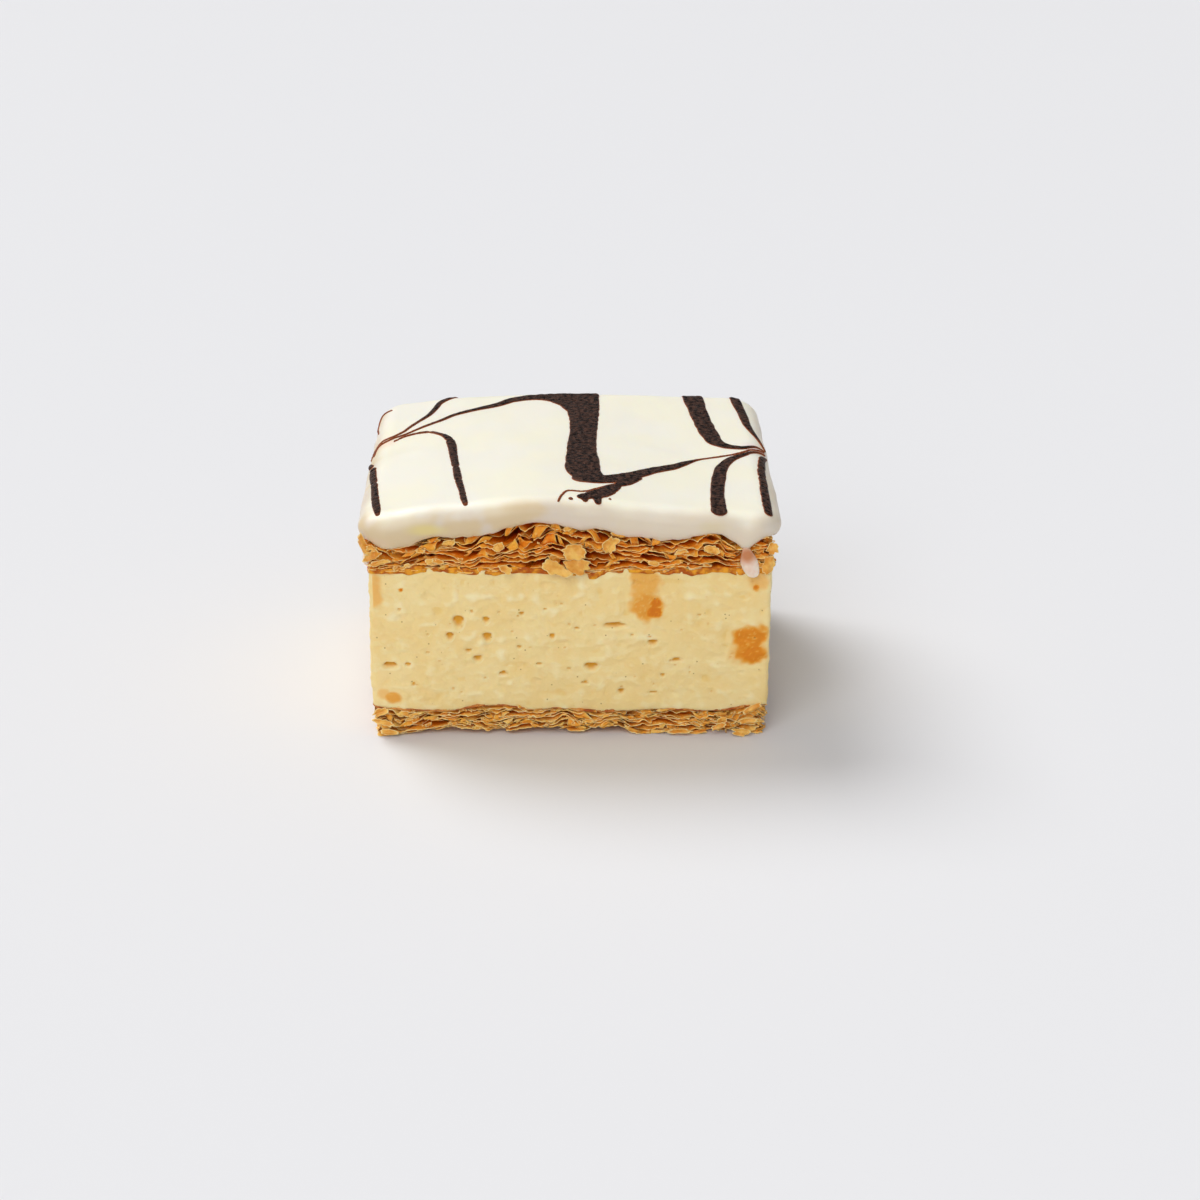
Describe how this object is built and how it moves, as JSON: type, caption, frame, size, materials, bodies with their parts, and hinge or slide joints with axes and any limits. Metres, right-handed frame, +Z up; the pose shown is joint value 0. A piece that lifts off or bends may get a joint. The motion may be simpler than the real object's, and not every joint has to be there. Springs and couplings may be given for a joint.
{
  "type": "mille feuille slice",
  "caption": "Rectangular slice of layered cream pastry: flaky pastry sheets around a thick custard block, topped with poured white icing feathered with chocolate",
  "frame": {"origin": "middle of the underside, on the surface that the slice stands on", "axes": "+X along the slice's width, +Y from the shown cut face to the back, +Z up"},
  "size_m": [0.0842, 0.0746, 0.0513],
  "materials": {
    "pastry": "baked leaves of pastry, golden brown, dry and flaky",
    "custard": "set vanilla custard, pale yellow, smooth with small pits, softly moist",
    "icing": "poured fondant icing, ivory white, smooth and softly glossy"
  },
  "bodies": {
    "root": {"base_pastry": "pastry", "custard": "custard", "lid_pastry": "pastry", "icing": "icing"}
  },
  "joints": []
}
